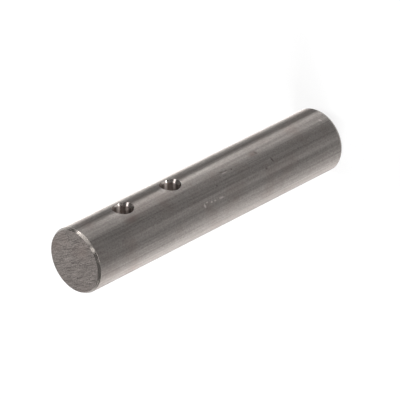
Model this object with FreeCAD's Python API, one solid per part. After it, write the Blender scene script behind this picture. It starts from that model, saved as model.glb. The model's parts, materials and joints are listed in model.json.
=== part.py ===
import FreeCAD, Part
import math
import os

# Hinge pin: one turned length of round steel bar that stands on its plain end. The axis is +Z, the
# origin is the centre of the plain end face, and two cross holes run along Y near the top end.
# All sizes are in millimetres.

# Round bar
shank_diameter = 15.875
pin_length = 81.0

# Lead-in chamfer, the same at both ends
chamfer_length = 0.65
chamfer_depth = 0.42

# Cross holes, drilled right through the bar
hole_count = 2
hole_diameter = 4.366
top_face_to_first_hole = 15.1
hole_pitch = 15.2

# Countersink at each mouth: how far it flares out from the hole's wall, and its included angle
countersink_flare = 0.52
countersink_angle = 60.0

shank_radius = shank_diameter / 2
end_face_radius = shank_radius - chamfer_depth
hole_radius = hole_diameter / 2
countersink_depth = countersink_flare / math.tan(math.radians(countersink_angle / 2))
countersink_seat = shank_radius - countersink_depth

axis_origin = FreeCAD.Vector(0, 0, 0)
pin_axis = FreeCAD.Vector(0, 0, 1)
hole_axis = FreeCAD.Vector(0, 1, 0)
full_turn = 360


def turned_solid(outline, axis):
    """Solid swept by a closed outline that turns once about an axis through the origin."""
    wire = Part.makePolygon(outline + outline[:1])
    return Part.Face(wire).revolve(axis_origin, axis, full_turn)


def turned_shank():
    """Bar parted to length, with its lead-in chamfers, from half of its lengthwise section."""
    half_section = [
        FreeCAD.Vector(0, 0, 0),
        FreeCAD.Vector(end_face_radius, 0, 0),
        FreeCAD.Vector(shank_radius, 0, chamfer_length),
        FreeCAD.Vector(shank_radius, 0, pin_length - chamfer_length),
        FreeCAD.Vector(end_face_radius, 0, pin_length),
        FreeCAD.Vector(0, 0, pin_length),
    ]
    return turned_solid(half_section, pin_axis)


def cross_hole():
    """Material that the drill and the two countersinks take out, centred on the pin's axis.

    The flares go on widening past the shank, so each mouth is the true saddle-shaped edge where
    a cone meets a cylinder.
    """
    reach = shank_diameter
    flare_radius = hole_radius + (reach - countersink_seat) * countersink_flare / countersink_depth
    half_section = [
        FreeCAD.Vector(0, -reach, 0),
        FreeCAD.Vector(flare_radius, -reach, 0),
        FreeCAD.Vector(hole_radius, -countersink_seat, 0),
        FreeCAD.Vector(hole_radius, countersink_seat, 0),
        FreeCAD.Vector(flare_radius, reach, 0),
        FreeCAD.Vector(0, reach, 0),
    ]
    return turned_solid(half_section, hole_axis)


def hinge_pin():
    """Shank with its row of cross holes, counted down from the top face."""
    pin = turned_shank()
    for hole in range(hole_count):
        cutter = cross_hole()
        cutter.translate(pin_axis * (pin_length - top_face_to_first_hole - hole * hole_pitch))
        pin = pin.cut(cutter)
    return pin


os.makedirs("parts", exist_ok=True)
hinge_pin().exportStep("parts/hinge_pin.step")
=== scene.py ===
import json
import math

import bpy
from mathutils import Matrix, Vector


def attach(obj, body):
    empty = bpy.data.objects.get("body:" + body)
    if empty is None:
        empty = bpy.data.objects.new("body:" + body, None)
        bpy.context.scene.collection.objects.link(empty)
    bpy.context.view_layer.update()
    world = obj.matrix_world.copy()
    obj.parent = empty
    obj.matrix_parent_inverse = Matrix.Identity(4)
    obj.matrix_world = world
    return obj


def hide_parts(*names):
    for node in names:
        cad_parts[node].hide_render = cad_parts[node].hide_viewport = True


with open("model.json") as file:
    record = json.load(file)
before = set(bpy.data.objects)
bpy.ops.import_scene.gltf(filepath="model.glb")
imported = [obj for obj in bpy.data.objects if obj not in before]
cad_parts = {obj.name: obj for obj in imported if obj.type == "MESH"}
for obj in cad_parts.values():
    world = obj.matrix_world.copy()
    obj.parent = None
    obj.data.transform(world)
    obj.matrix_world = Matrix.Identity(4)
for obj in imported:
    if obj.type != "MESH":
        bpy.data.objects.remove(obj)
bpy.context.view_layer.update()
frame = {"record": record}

# Ground bar
# The pin is one length of centreless-ground round steel bar, cut off, with both ends dressed flat on a belt
# grinder and turned to a small chamfer. Here it is built up from a disc, ring by ring.

mm = 0.001
mounts = {mount["name"]: mount for mount in frame["record"]["mounts"]}
shank_radius = mounts["shank"]["dims"]["r_mm"] * mm
pin_length = mounts["drilled_end"]["pos_m"][2]
chamfer_length = (pin_length - mounts["shank"]["dims"]["length_mm"] * mm) / 2
chamfer_depth = 0.42 * mm
end_face_radius = shank_radius - chamfer_depth
shank_edge_break = 0.05 * mm
facets_round_pin = 288


def linear(hex_colour):
    """An sRGB hex colour as the linear red, green, blue and alpha that a shader takes."""
    channels = [int(hex_colour[start:start + 2], 16) / 255 for start in (1, 3, 5)]
    return [c / 12.92 if c <= 0.04045 else ((c + 0.055) / 1.055) ** 2.4 for c in channels] + [1]


def add_node(material, kind, inputs=None, **properties):
    """Adds one node to the material. Each input is given a value, or the output that it is linked to."""
    node = material.node_tree.nodes.new(kind)
    for name, value in properties.items():
        setattr(node, name, value)
    for name, value in (inputs or {}).items():
        if isinstance(value, bpy.types.NodeSocket):
            material.node_tree.links.new(value, node.inputs[name])
        else:
            node.inputs[name].default_value = value
    return node


def bare_material(name):
    """A new material with no nodes in it yet."""
    material = bpy.data.materials.new(name)
    material.use_nodes = True
    material.node_tree.nodes.clear()
    return material


def finish_steel(material, colour, roughness, relief, axis, anisotropy, spread_turn):
    """Joins a steel's colour, roughness and relief to its shader. The steel spreads light most along one
    direction, which is the way round the axis turned by spread_turn, a share of a full circle."""
    round_axis = add_node(material, "ShaderNodeTangent", direction_type="RADIAL", axis=axis)
    shader = add_node(material, "ShaderNodeBsdfPrincipled", {
        "Base Color": colour,
        "Metallic": 1,
        "Roughness": roughness,
        "Normal": relief,
        "Anisotropic": anisotropy,
        "Anisotropic Rotation": spread_turn,
        "Tangent": round_axis.outputs["Tangent"],
    })
    add_node(material, "ShaderNodeOutputMaterial", {"Surface": shader.outputs["BSDF"]})


# Centreless-ground steel. The wheel ran round the bar, and its fine grooves spread light along the bar, so
# the shank shows crisp lengthwise bands in a warm mid grey, with grain, faint slide lines and a few knocks.
ground_steel = bare_material("centreless_ground_steel")
on_bar = add_node(ground_steel, "ShaderNodeTexCoord").outputs["Object"]

# The grit's grooves are about 0.02 mm wide. The grain is drawn 0.4 mm wide, so that it shows.
grain = add_node(ground_steel, "ShaderNodeTexNoise", {
    "Vector": on_bar, "Scale": 1 / (0.4 * mm), "Detail": 2, "Roughness": 0.6,
}).outputs["Fac"]

# Lines 0.5 mm wide and 30 mm long, from sliding over the other bars of its bundle.
slide_lines = add_node(ground_steel, "ShaderNodeTexNoise", {
    "Vector": add_node(ground_steel, "ShaderNodeMapping", {
        "Vector": on_bar, "Scale": (1 / (0.5 * mm), 1 / (0.5 * mm), 1 / (30 * mm)),
    }).outputs["Vector"],
    "Scale": 1, "Detail": 2, "Roughness": 0.5,
}).outputs["Fac"]

# A dry film of preserving oil, browner in patches about 6 mm across.
oil_film = add_node(ground_steel, "ShaderNodeTexNoise", {
    "Vector": on_bar, "Scale": 1 / (6 * mm), "Detail": 2, "Roughness": 0.5,
}).outputs["Fac"]

# How much of the grain is added to a mark, and the sums at which the mark begins and is full.
grain_share = 0.6
mark_begins, mark_full = 0.45, 1.1


def shank_mark(bearing, height, length, width, lean):
    """One mark on the shank, as a spot of value 1 that fades to 0 at an edge made ragged by the grain. Its
    middle is at a bearing in degrees from -Y towards +X and a height in mm. Its half length and half width
    are in mm, and its length leans off the bar's axis by some degrees."""
    bearing = math.radians(bearing)
    outward = Vector((math.sin(bearing), -math.cos(bearing), 0))
    along = Matrix.Rotation(math.radians(lean), 3, outward) @ Vector((0, 0, 1))
    across = outward.cross(along)
    turn = Matrix((along, across, outward)).transposed().to_euler()
    local = add_node(ground_steel, "ShaderNodeMapping", {
        "Vector": on_bar,
        "Location": outward * shank_radius + Vector((0, 0, height * mm)),
        "Rotation": turn,
        "Scale": (length * mm, width * mm, width * mm),
    }, vector_type="TEXTURE").outputs["Vector"]
    spot = add_node(ground_steel, "ShaderNodeTexGradient", {"Vector": local}, gradient_type="SPHERICAL")
    ragged = add_node(ground_steel, "ShaderNodeMath", {
        0: grain, 1: grain_share, 2: spot.outputs["Fac"],
    }, operation="MULTIPLY_ADD")
    return add_node(ground_steel, "ShaderNodeMapRange", {
        "Value": ragged.outputs["Value"], "From Min": mark_begins, "From Max": mark_full,
    }).outputs["Result"]


def strongest(masks):
    """The highest of several marks' values at each place."""
    top = masks[0]
    for mask in masks[1:]:
        higher = add_node(ground_steel, "ShaderNodeMath", {0: top, 1: mask}, operation="MAXIMUM")
        top = higher.outputs["Value"]
    return top


# The marks that the photo shows: bearing, height, half length and half width in mm, and lean.
dark_scuffs = strongest([
    shank_mark(-25.5, 37.4, 1.2, 0.35, -8),
    shank_mark(-27.0, 36.2, 0.9, 0.30, 8),
    shank_mark(-28.9, 34.4, 0.4, 0.35, 0),
    shank_mark(-43.1, 40.8, 0.4, 0.35, 0),
    shank_mark(-21.0, 25.4, 0.9, 0.55, -60),
    shank_mark(-45.3, 22.5, 1.0, 0.40, -76),
    shank_mark(-54.6, 25.2, 0.6, 0.45, 0),
])
bright_nicks = strongest([
    shank_mark(-28.9, 36.8, 1.4, 0.30, 0),
    shank_mark(-64.9, 46.4, 0.8, 0.45, -72),
    shank_mark(-64.4, 41.0, 1.1, 0.35, 0),
    shank_mark(-63.5, 44.1, 0.5, 0.40, 0),
    shank_mark(-63.8, 43.0, 0.5, 0.30, 0),
    shank_mark(-60.6, 45.5, 0.5, 0.30, 0),
    shank_mark(-21.0, 3.0, 0.8, 0.35, -50),
])
brown_stains = strongest([
    shank_mark(-20.8, 26.3, 2.2, 1.10, 8),
    shank_mark(-29.2, 66.8, 3.4, 1.60, 0),
])

# A Mix node's two ends and its result are reached by number, for plain values and for colours.
value_a, value_b, value_result = 2, 3, 0
colour_a, colour_b, colour_result = 6, 7, 2

# Most of a noise's values lie in this span, which is stretched to the range that a finish needs.
noise_span = {"From Min": 0.3, "From Max": 0.7}

# The oil film shows only where its noise is high, and covers at most 0.35 of the steel's own colour.
film_span = {"From Min": 0.5, "From Max": 0.75, "To Max": 0.35}
stain_strength = 0.5
tone = add_node(ground_steel, "ShaderNodeMix", {
    "Factor": 0.5, value_a: grain, value_b: slide_lines,
}, data_type="FLOAT").outputs[value_result]
clean_colour = add_node(ground_steel, "ShaderNodeMix", {
    "Factor": add_node(ground_steel, "ShaderNodeMapRange", {
        "Value": tone, **noise_span,
    }).outputs["Result"],
    colour_a: linear("#6d6865"), colour_b: linear("#999490"),
}, data_type="RGBA").outputs[colour_result]
oiled_colour = add_node(ground_steel, "ShaderNodeMix", {
    "Factor": add_node(ground_steel, "ShaderNodeMapRange", {
        "Value": oil_film, **film_span,
    }).outputs["Result"],
    colour_a: clean_colour, colour_b: linear("#736560"),
}, data_type="RGBA").outputs[colour_result]
stained_colour = add_node(ground_steel, "ShaderNodeMix", {
    "Factor": add_node(ground_steel, "ShaderNodeMath", {
        0: brown_stains, 1: stain_strength,
    }, operation="MULTIPLY").outputs["Value"],
    colour_a: oiled_colour, colour_b: linear("#665651"),
}, data_type="RGBA").outputs[colour_result]
scuffed_colour = add_node(ground_steel, "ShaderNodeMix", {
    "Factor": dark_scuffs, colour_a: stained_colour, colour_b: linear("#635d59"),
}, data_type="RGBA").outputs[colour_result]
shank_colour = add_node(ground_steel, "ShaderNodeMix", {
    "Factor": bright_nicks, colour_a: scuffed_colour, colour_b: linear("#ada6a2"),
}, data_type="RGBA").outputs[colour_result]

# The last stretch before the drilled end has been handled dull: its bands of light are wider and flatter.
handled_length = 14 * mm
handled_roughening = 0.16
handled_end = add_node(ground_steel, "ShaderNodeMapRange", {
    "Value": add_node(ground_steel, "ShaderNodeSeparateXYZ", {"Vector": on_bar}).outputs["Z"],
    "From Min": pin_length - handled_length, "From Max": pin_length,
}, interpolation_type="SMOOTHSTEP").outputs["Result"]
shank_roughness = add_node(ground_steel, "ShaderNodeMath", {
    0: handled_end, 1: handled_roughening, 2: add_node(ground_steel, "ShaderNodeMapRange", {
        "Value": tone, **noise_span, "To Min": 0.49, "To Max": 0.55,
    }).outputs["Result"],
}, operation="MULTIPLY_ADD").outputs["Value"]
shank_relief = add_node(ground_steel, "ShaderNodeBump", {
    "Strength": 1, "Distance": 0.004 * mm, "Height": tone,
}).outputs["Normal"]

# The grooves run round the bar, and the light spreads a quarter of a circle from them.
square_to_grooves = 0.25
finish_steel(
    ground_steel, shank_colour, shank_roughness, shank_relief,
    axis="Z", anisotropy=1, spread_turn=square_to_grooves,
)

# Belt-ground steel on the two end faces. The belt ran straight across, so the face is a flat, dull grey
# full of short parallel lines, with no bands of light.
belt_steel = bare_material("belt_ground_steel")
on_face = add_node(belt_steel, "ShaderNodeTexCoord").outputs["Object"]
belt_bearing = math.radians(33)
belt_way = add_node(belt_steel, "ShaderNodeMapping", {
    "Vector": on_face, "Rotation": (0, 0, -belt_bearing),
}).outputs["Vector"]

# Grooves of an 80 grit belt, about 0.1 mm wide. They are drawn 0.2 mm wide and 2 mm long, so that they show.
belt_lines = add_node(belt_steel, "ShaderNodeTexNoise", {
    "Vector": add_node(belt_steel, "ShaderNodeMapping", {
        "Vector": belt_way, "Scale": (1 / (2 * mm), 1 / (0.2 * mm), 1 / (2 * mm)),
    }).outputs["Vector"],
    "Scale": 1, "Detail": 2, "Roughness": 0.6,
}).outputs["Fac"]

# Pits that the grooves leave, about 0.3 mm across.
belt_pits = add_node(belt_steel, "ShaderNodeTexNoise", {
    "Vector": on_face, "Scale": 1 / (0.3 * mm), "Detail": 1,
}).outputs["Fac"]
face_tone = add_node(belt_steel, "ShaderNodeMix", {
    "Factor": 0.45, value_a: belt_lines, value_b: belt_pits,
}, data_type="FLOAT").outputs[value_result]

# The film of oil on the face, browner in patches about 5 mm across.
face_film = add_node(belt_steel, "ShaderNodeTexNoise", {
    "Vector": on_face, "Scale": 1 / (5 * mm), "Detail": 1,
}).outputs["Fac"]
face_colour = add_node(belt_steel, "ShaderNodeMix", {
    "Factor": add_node(belt_steel, "ShaderNodeMapRange", {
        "Value": face_tone, **noise_span,
    }).outputs["Result"],
    colour_a: linear("#3a3533"), colour_b: linear("#8c8581"),
}, data_type="RGBA").outputs[colour_result]
filmed_face_colour = add_node(belt_steel, "ShaderNodeMix", {
    "Factor": add_node(belt_steel, "ShaderNodeMapRange", {
        "Value": face_film, **film_span,
    }).outputs["Result"],
    colour_a: face_colour, colour_b: linear("#6b5e59"),
}, data_type="RGBA").outputs[colour_result]
face_roughness = add_node(belt_steel, "ShaderNodeMapRange", {
    "Value": belt_lines, **noise_span, "To Min": 0.5, "To Max": 0.58,
}).outputs["Result"]
face_relief = add_node(belt_steel, "ShaderNodeBump", {
    "Strength": 1, "Distance": 0.003 * mm, "Height": belt_lines,
}).outputs["Normal"]

# The light spreads a little more across the belt's lines than along them.
across_belt_lines = 0.07
finish_steel(
    belt_steel, filmed_face_colour, face_roughness, face_relief,
    axis="X", anisotropy=0.3, spread_turn=across_belt_lines,
)

# Turned steel on the chamfers. A single point tool left them smoother and brighter than the shank, with
# rings round the bar, so they mirror a lamp as a bright arc and go dark away from it.
turned_steel = bare_material("turned_steel")
on_chamfer = add_node(turned_steel, "ShaderNodeTexCoord").outputs["Object"]

# The tool's feed marks are about 0.1 mm apart. They are drawn 0.2 mm apart, so that they show.
tool_rings = add_node(turned_steel, "ShaderNodeTexNoise", {
    "Vector": add_node(turned_steel, "ShaderNodeMapping", {
        "Vector": on_chamfer, "Scale": (1 / (1.5 * mm), 1 / (1.5 * mm), 1 / (0.2 * mm)),
    }).outputs["Vector"],
    "Scale": 1, "Detail": 2, "Roughness": 0.5,
}).outputs["Fac"]
chamfer_colour = add_node(turned_steel, "ShaderNodeMix", {
    "Factor": tool_rings, colour_a: linear("#7d7874"), colour_b: linear("#a49d97"),
}, data_type="RGBA").outputs[colour_result]
chamfer_roughness = add_node(turned_steel, "ShaderNodeMapRange", {
    "Value": tool_rings, **noise_span, "To Min": 0.2, "To Max": 0.26,
}).outputs["Result"]
chamfer_relief = add_node(turned_steel, "ShaderNodeBump", {
    "Strength": 1, "Distance": 0.0015 * mm, "Height": tool_rings,
}).outputs["Normal"]
finish_steel(
    turned_steel, chamfer_colour, chamfer_roughness, chamfer_relief,
    axis="Z", anisotropy=0.3, spread_turn=square_to_grooves,
)

bpy.ops.object.select_all(action="DESELECT")
bpy.ops.mesh.primitive_circle_add(
    vertices=facets_round_pin, radius=end_face_radius, fill_type="NGON", location=(0, 0, 0)
)
pin = bpy.context.active_object
pin.name = "turned_hinge_pin"
pin.data.name = "turned_hinge_pin"
bar_finishes = [ground_steel, belt_steel, turned_steel]
for finish in bar_finishes:
    pin.data.materials.append(finish)


def turn_on(rise, widening):
    """Carries the open ring of the piece in hand up by rise and scales it by widening."""
    bpy.ops.mesh.extrude_region_move(TRANSFORM_OT_translate={"value": (0, 0, rise)})
    bpy.ops.transform.resize(value=(widening, widening, 1))


bpy.ops.object.mode_set(mode="EDIT")
bpy.ops.mesh.select_all(action="SELECT")
turn_on(chamfer_length, shank_radius / end_face_radius)
turn_on(pin_length - 2 * chamfer_length, 1)
turn_on(chamfer_length, end_face_radius / shank_radius)
bpy.ops.mesh.select_all(action="SELECT")
bpy.ops.mesh.normals_make_consistent(inside=False)
bpy.ops.object.mode_set(mode="OBJECT")


def select_edges(piece, wanted):
    """Selects the edges of the piece whose two ends pass the test, and nothing else."""
    bpy.ops.object.mode_set(mode="EDIT")
    bpy.ops.mesh.select_mode(type="EDGE")
    bpy.ops.mesh.select_all(action="DESELECT")
    bpy.ops.object.mode_set(mode="OBJECT")
    for edge in piece.data.edges:
        ends = [piece.data.vertices[index].co for index in edge.vertices]
        edge.select = wanted(*ends)
    bpy.ops.object.mode_set(mode="EDIT")


ring_tolerance = 0.01 * mm
shank_ends = (chamfer_length, pin_length - chamfer_length)


def lies_at_shank_end(first, second):
    """True for an edge of one of the two rings where the ground shank meets a chamfer."""
    level = abs(first.z - second.z) < ring_tolerance
    return level and min(abs(first.z - height) for height in shank_ends) < ring_tolerance


# Dressing leaves the edge of the end face sharp. The edge between chamfer and shank is a little rounded.
select_edges(pin, lies_at_shank_end)
bpy.ops.mesh.bevel(offset=shank_edge_break, segments=3, affect="EDGES")
bpy.ops.object.mode_set(mode="OBJECT")

# A face's lean is 1 on the flat ends, 0 on the shank and in between on a chamfer.
least_end_face_lean = 0.999
least_chamfer_lean = 0.05
for face in pin.data.polygons:
    lean = abs(face.normal.z)
    if lean > least_end_face_lean:
        face.material_index = bar_finishes.index(belt_steel)
    elif lean > least_chamfer_lean:
        face.material_index = bar_finishes.index(turned_steel)
    else:
        face.material_index = bar_finishes.index(ground_steel)

# Cross holes
# Two holes are drilled straight through near the top end and countersunk from both sides. Their waste is
# one spool, a bore between two cones that go on widening past the shank, and it is cut out of the bar.

bore_radius = mounts["upper_hole"]["dims"]["r_mm"] * mm
bore_length = mounts["upper_hole"]["dims"]["length_mm"] * mm
countersink_half_angle = math.radians(30)
cutter_reach = 2 * shank_radius
cone_radius = bore_radius + (cutter_reach - bore_length / 2) * math.tan(countersink_half_angle)
facets_round_hole = 120

# Drilled steel: a twist drill leaves a smooth, slightly scored wall, darker than the rest and browned by
# cutting oil. It shows as a dark hole, with pale bars painted down its wall as highlights.
drilled_steel = bare_material("drilled_steel")
on_bore = add_node(drilled_steel, "ShaderNodeTexCoord").outputs["Object"]

# Drill feed marks, 0.2 mm apart along the hole.
feed_marks = add_node(drilled_steel, "ShaderNodeTexNoise", {
    "Vector": add_node(drilled_steel, "ShaderNodeMapping", {
        "Vector": on_bore, "Scale": (1 / (1.2 * mm), 1 / (0.2 * mm), 1 / (1.2 * mm)),
    }).outputs["Vector"],
    "Scale": 1, "Detail": 2, "Roughness": 0.6,
}).outputs["Fac"]
scored_colour = add_node(drilled_steel, "ShaderNodeMix", {
    "Factor": feed_marks, colour_a: linear("#746963"), colour_b: linear("#968a83"),
}, data_type="RGBA").outputs[colour_result]

# Painted highlights: light bars down the wall, painted pale where lamps would be mirrored, 2 mm apart
# across the hole. A whole number of them fits between the holes, so they stand alike in both.
upper_height = mounts["upper_hole"]["pos_m"][2]
lower_height = mounts["lower_hole"]["pos_m"][2]
highlight_bar_bearing = math.radians(43)
highlight_bars_between_holes = 5
highlight_bar_gap = (upper_height - lower_height) * math.sin(highlight_bar_bearing) / highlight_bars_between_holes
waves_per_metre = 20 / (2 * math.pi)  # of a Wave Texture at scale 1
painted_highlight_bars = add_node(drilled_steel, "ShaderNodeTexWave", {
    "Vector": add_node(drilled_steel, "ShaderNodeMapping", {
        "Vector": on_bore,
        "Location": (-upper_height * math.sin(highlight_bar_bearing), 0, 0),
        "Rotation": (0, highlight_bar_bearing, 0),
    }).outputs["Vector"],
    "Scale": 1 / (waves_per_metre * highlight_bar_gap), "Distortion": 0.7, "Detail": 2, "Detail Scale": 10,
}, wave_type="BANDS", bands_direction="X").outputs["Fac"]
# The wall's scored colour, with the pale painted highlight bars mixed in.
scored_colour_and_painted_highlights = add_node(drilled_steel, "ShaderNodeMix", {
    "Factor": add_node(drilled_steel, "ShaderNodeMapRange", {
        "Value": painted_highlight_bars, "From Min": 0.5, "From Max": 1,
    }).outputs["Result"],
    colour_a: scored_colour, colour_b: linear("#d0c4be"),
}, data_type="RGBA").outputs[colour_result]
bore_relief = add_node(drilled_steel, "ShaderNodeBump", {
    "Strength": 1, "Distance": 0.003 * mm, "Height": feed_marks,
}).outputs["Normal"]
bore_roughness = 0.5
finish_steel(
    drilled_steel, scored_colour_and_painted_highlights, bore_roughness, bore_relief,
    axis="Y", anisotropy=1, spread_turn=square_to_grooves,
)

# Countersunk steel: the countersink cut last and clean, so its cone is the brightest steel of the pin.
countersunk_steel = bare_material("countersunk_steel")
on_cone = add_node(countersunk_steel, "ShaderNodeTexCoord").outputs["Object"]

# Rings of the countersink's cutting edges, 0.15 mm apart.
cone_rings = add_node(countersunk_steel, "ShaderNodeTexNoise", {
    "Vector": add_node(countersunk_steel, "ShaderNodeMapping", {
        "Vector": on_cone, "Scale": (1 / (1 * mm), 1 / (0.15 * mm), 1 / (1 * mm)),
    }).outputs["Vector"],
    "Scale": 1, "Detail": 2, "Roughness": 0.6,
}).outputs["Fac"]
cone_colour = add_node(countersunk_steel, "ShaderNodeMix", {
    "Factor": cone_rings, colour_a: linear("#938a86"), colour_b: linear("#b9b1ac"),
}, data_type="RGBA").outputs[colour_result]
cone_relief = add_node(countersunk_steel, "ShaderNodeBump", {
    "Strength": 1, "Distance": 0.0015 * mm, "Height": cone_rings,
}).outputs["Normal"]
cone_roughness = 0.19
finish_steel(
    countersunk_steel, cone_colour, cone_roughness, cone_relief,
    axis="Y", anisotropy=0.3, spread_turn=square_to_grooves,
)

bpy.ops.object.select_all(action="DESELECT")
bpy.ops.mesh.primitive_circle_add(
    vertices=facets_round_hole, radius=cone_radius, fill_type="NGON",
    location=(0, 0, -cutter_reach),
)
spool = bpy.context.active_object
bpy.ops.object.transform_apply(location=True, rotation=False, scale=False)
bpy.ops.object.mode_set(mode="EDIT")
bpy.ops.mesh.select_all(action="SELECT")
turn_on(cutter_reach - bore_length / 2, bore_radius / cone_radius)
turn_on(bore_length, 1)
turn_on(cutter_reach - bore_length / 2, cone_radius / bore_radius)
bpy.ops.mesh.select_all(action="SELECT")
bpy.ops.mesh.normals_make_consistent(inside=False)
bpy.ops.object.mode_set(mode="OBJECT")
hole_finishes = [countersunk_steel, drilled_steel]
for finish in hole_finishes:
    spool.data.materials.append(finish)
for face in spool.data.polygons:
    in_bore = abs(face.center.z) < bore_length / 4
    face.material_index = hole_finishes.index(drilled_steel if in_bore else countersunk_steel)


def pick_up(piece):
    """Leaves the piece alone selected, ready for the next operator."""
    bpy.ops.object.select_all(action="DESELECT")
    piece.select_set(True)
    bpy.context.view_layer.objects.active = piece


for name in ("upper_hole", "lower_hole"):
    waste = spool.copy()
    waste.data = spool.data.copy()
    bpy.context.collection.objects.link(waste)
    along_hole = Vector(mounts[name]["axis"])
    waste.data.transform(
        Matrix.Translation(mounts[name]["pos_m"]) @ along_hole.to_track_quat("Z", "X").to_matrix().to_4x4()
    )
    pick_up(pin)
    drill = pin.modifiers.new(name, "BOOLEAN")
    drill.operation = "DIFFERENCE"
    drill.solver = "EXACT"
    drill.material_mode = "TRANSFER"
    drill.object = waste
    bpy.ops.object.modifier_apply(modifier=drill.name)
    bpy.data.objects.remove(waste)
bpy.data.objects.remove(spool)

# Mouths of the holes
# The saddle-shaped edge where each countersink breaks out of the shank is knocked off with a deburring
# tool, which leaves a fine rounded lip that catches the light.

mouth_edge_break = 0.06 * mm
surface_tolerance = 0.004 * mm
hole_heights = [upper_height, lower_height]


def is_on_shank(point):
    """True for a point on the ground surface of the bar, away from the two ends."""
    off_surface = abs(math.hypot(point.x, point.y) - shank_radius)
    return off_surface < surface_tolerance and chamfer_length * 2 < point.z < pin_length - chamfer_length * 2


def cone_gap(point):
    """How far a point lies from the countersink of the nearest hole, measured across the hole's axis."""
    rise = min((point.z - height for height in hole_heights), key=abs)
    from_axis = math.hypot(point.x, rise)
    radius_here = bore_radius + (abs(point.y) - bore_length / 2) * math.tan(countersink_half_angle)
    return abs(from_axis - radius_here)


def lies_on_mouth(first, second):
    """True for an edge of the saddle-shaped line where a countersink breaks out of the shank."""
    short = (first - second).length < bore_radius
    return short and all(cone_gap(end) < surface_tolerance and is_on_shank(end) for end in (first, second))


select_edges(pin, lies_on_mouth)
bpy.ops.mesh.bevel(offset=mouth_edge_break, segments=3, affect="EDGES", clamp_overlap=False)
pin.active_material_index = pin.material_slots.find(ground_steel.name)
bpy.ops.object.material_slot_assign()
bpy.ops.object.mode_set(mode="OBJECT")

# An edge that turns by more than this stays crisp.
crisp_edge_angle = math.radians(28)
pick_up(pin)
bpy.ops.object.shade_smooth_by_angle(angle=crisp_edge_angle)
weights = pin.modifiers.new("face_weighted_normals", "WEIGHTED_NORMAL")
weights.keep_sharp = True
bpy.ops.object.modifier_apply(modifier=weights.name)


def to_hole_axis(point):
    """The direction from a point straight in to the axis of the nearest hole."""
    height = min(hole_heights, key=lambda hole_height: abs(point.z - hole_height))
    return Vector((-point.x, 0, height - point.z)).normalized()


def skin_direction(point):
    """The direction that the steel faces outside the bores: straight out from the bar on the shank, square to
    the cone in a countersink, and turning evenly from the one to the other over the lip between them."""
    straight_out = Vector((point.x, point.y, 0)).normalized()
    flare = Vector((0, math.copysign(math.sin(countersink_half_angle), point.y), 0))
    square_to_cone = to_hole_axis(point) * math.cos(countersink_half_angle) + flare
    off_bar = abs(math.hypot(point.x, point.y) - shank_radius)
    return (straight_out * cone_gap(point) + square_to_cone * off_bar).normalized()


# Each corner takes the direction of its true surface, so that no facet or seam shows in the gloss.
corner_normals = [corner.vector.copy() for corner in pin.data.corner_normals]
for face in pin.data.polygons:
    finish = pin.data.materials[face.material_index]
    if finish in (belt_steel, turned_steel):
        continue
    true_direction = to_hole_axis if finish == drilled_steel else skin_direction
    for corner in face.loop_indices:
        point = pin.data.vertices[pin.data.loops[corner].vertex_index].co
        corner_normals[corner] = true_direction(point)
pin.data.normals_split_custom_set(corner_normals)

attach(pin, "root")
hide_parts("hinge_pin")

# Camera
# A long lens looks down on the drilled end from its side, with the pin's axis slanting across the picture.

camera_azimuth = math.radians(-49.0)
camera_elevation = math.radians(38.7)
camera_roll = math.radians(-116.7)
camera_distance = 804.0 * mm
aim = Vector((-0.24, 0.28, 40.8)) * mm
back = Vector((
    math.sin(camera_azimuth) * math.cos(camera_elevation),
    -math.cos(camera_azimuth) * math.cos(camera_elevation),
    math.sin(camera_elevation),
))
camera = bpy.data.objects.new("camera", bpy.data.cameras.new("camera"))
bpy.context.collection.objects.link(camera)
camera.data.lens = 312.5
camera.data.sensor_width = 36
camera.data.clip_start = 10 * mm
camera.data.clip_end = 20
upright = (-back).to_track_quat("-Z", "Y").to_matrix().to_4x4()
rolled = upright @ Matrix.Rotation(camera_roll, 4, "Z")
camera.matrix_world = Matrix.Translation(aim + back * camera_distance) @ rolled
bpy.context.scene.camera = camera

# Floor
# A wide sheet of matt white paper over a lit table. The camera and the steel see its even white, and the
# rest of its light is what falls on it, so it keeps a faint soft shadow.

floor_size = 6
table_glow = 0.8
white_paper = bare_material("matt_white_paper")
paper = add_node(white_paper, "ShaderNodeBsdfPrincipled", {
    "Base Color": linear("#e9e9e9"), "Roughness": 0.9,
})
lit_table = add_node(white_paper, "ShaderNodeEmission", {"Color": linear("#ffffff"), "Strength": 1})
sight = add_node(white_paper, "ShaderNodeLightPath")
seen_or_mirrored = add_node(white_paper, "ShaderNodeMath", {
    0: sight.outputs["Is Camera Ray"], 1: sight.outputs["Is Glossy Ray"],
}, operation="MAXIMUM").outputs["Value"]
seen_by_any = add_node(white_paper, "ShaderNodeMath", {
    0: seen_or_mirrored, 1: sight.outputs["Is Transmission Ray"],
}, operation="MAXIMUM").outputs["Value"]
lit_paper = add_node(white_paper, "ShaderNodeMixShader", {
    "Fac": add_node(white_paper, "ShaderNodeMath", {
        0: seen_by_any, 1: table_glow,
    }, operation="MULTIPLY").outputs["Value"],
    1: paper.outputs["BSDF"], 2: lit_table.outputs["Emission"],
})
add_node(white_paper, "ShaderNodeOutputMaterial", {"Surface": lit_paper.outputs["Shader"]})
bpy.ops.object.select_all(action="DESELECT")
bpy.ops.mesh.primitive_plane_add(size=floor_size, location=(0, 0, 0))
floor = bpy.context.active_object
floor.name = "studio_floor"
floor.data.materials.append(white_paper)

# Studio light
# Soft panels stand in a ring round the pin, as the lit walls of a light tent do. The low ones draw the
# lengthwise bands on the ground steel, and the gaps between them the dark bands. The high ones light the
# chamfer and the countersinks, and the world is a dim grey that fills the shadows.

ring_radius = 1.2
ring_centre = Vector((0, 0, pin_length / 2))


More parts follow.
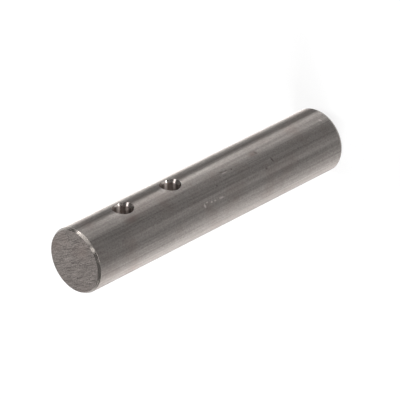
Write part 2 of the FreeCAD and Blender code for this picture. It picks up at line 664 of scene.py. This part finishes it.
def soft_panel(name, bearing, elevation, half_width, half_height, brightness):
    """A soft panel that faces the pin, unseen by the camera. Its bearing, elevation and half sizes are
    angles in degrees, seen from the pin, and a brightness of 1 is as bright as a white page."""
    bearing = math.radians(bearing)
    elevation = math.radians(elevation)
    towards = Vector((
        math.sin(bearing) * math.cos(elevation),
        -math.cos(bearing) * math.cos(elevation),
        math.sin(elevation),
    ))
    panel = bpy.data.lights.new(name, "AREA")
    panel.shape = "RECTANGLE"
    panel.size = 2 * ring_radius * math.tan(math.radians(half_width))
    panel.size_y = 2 * ring_radius * math.tan(math.radians(half_height))
    panel.energy = math.pi * panel.size * panel.size_y * brightness
    stand = bpy.data.objects.new(name, panel)
    bpy.context.collection.objects.link(stand)
    stand.matrix_world = (
        Matrix.Translation(ring_centre + towards * ring_radius)
        @ towards.to_track_quat("Z", "Y").to_matrix().to_4x4()
    )
    stand.visible_camera = False


# Each panel's name, bearing, elevation, half width, half height and brightness.
soft_panel("main_panel", 12, 5.5, 18, 4.5, 12.6)
soft_panel("main_panel_core", 26, 5.5, 3, 4.5, 31)
soft_panel("right_strip", 71, 15, 5, 7, 6)
soft_panel("right_rim_panel", 98, 24, 7, 14, 30)
soft_panel("back_rim_panel", 180, 25, 6, 12, 13)
soft_panel("back_wall", 199, 35, 13, 18, 6.6)
soft_panel("left_high_wall", 223, 50, 20, 12, 5.4)
soft_panel("left_strip", 281, 8, 5, 7, 4.8)
soft_panel("front_wall", 295, 1.5, 9, 2.5, 12.5)
soft_panel("front_corner_panel", 318, 28, 8, 3.5, 4)
soft_panel("front_upper_panel", 0, 24, 24, 6, 1.5)
soft_panel("top_panel", 9, 66, 9, 8, 3.4)

ambient_brightness = 0.18
studio = bpy.data.worlds.new("studio")
studio.use_nodes = True
studio.node_tree.nodes["Background"].inputs["Strength"].default_value = ambient_brightness
studio.node_tree.nodes["Background"].inputs["Color"].default_value = (1, 1, 1, 1)
bpy.context.scene.world = studio
bpy.context.scene.view_settings.view_transform = "Standard"
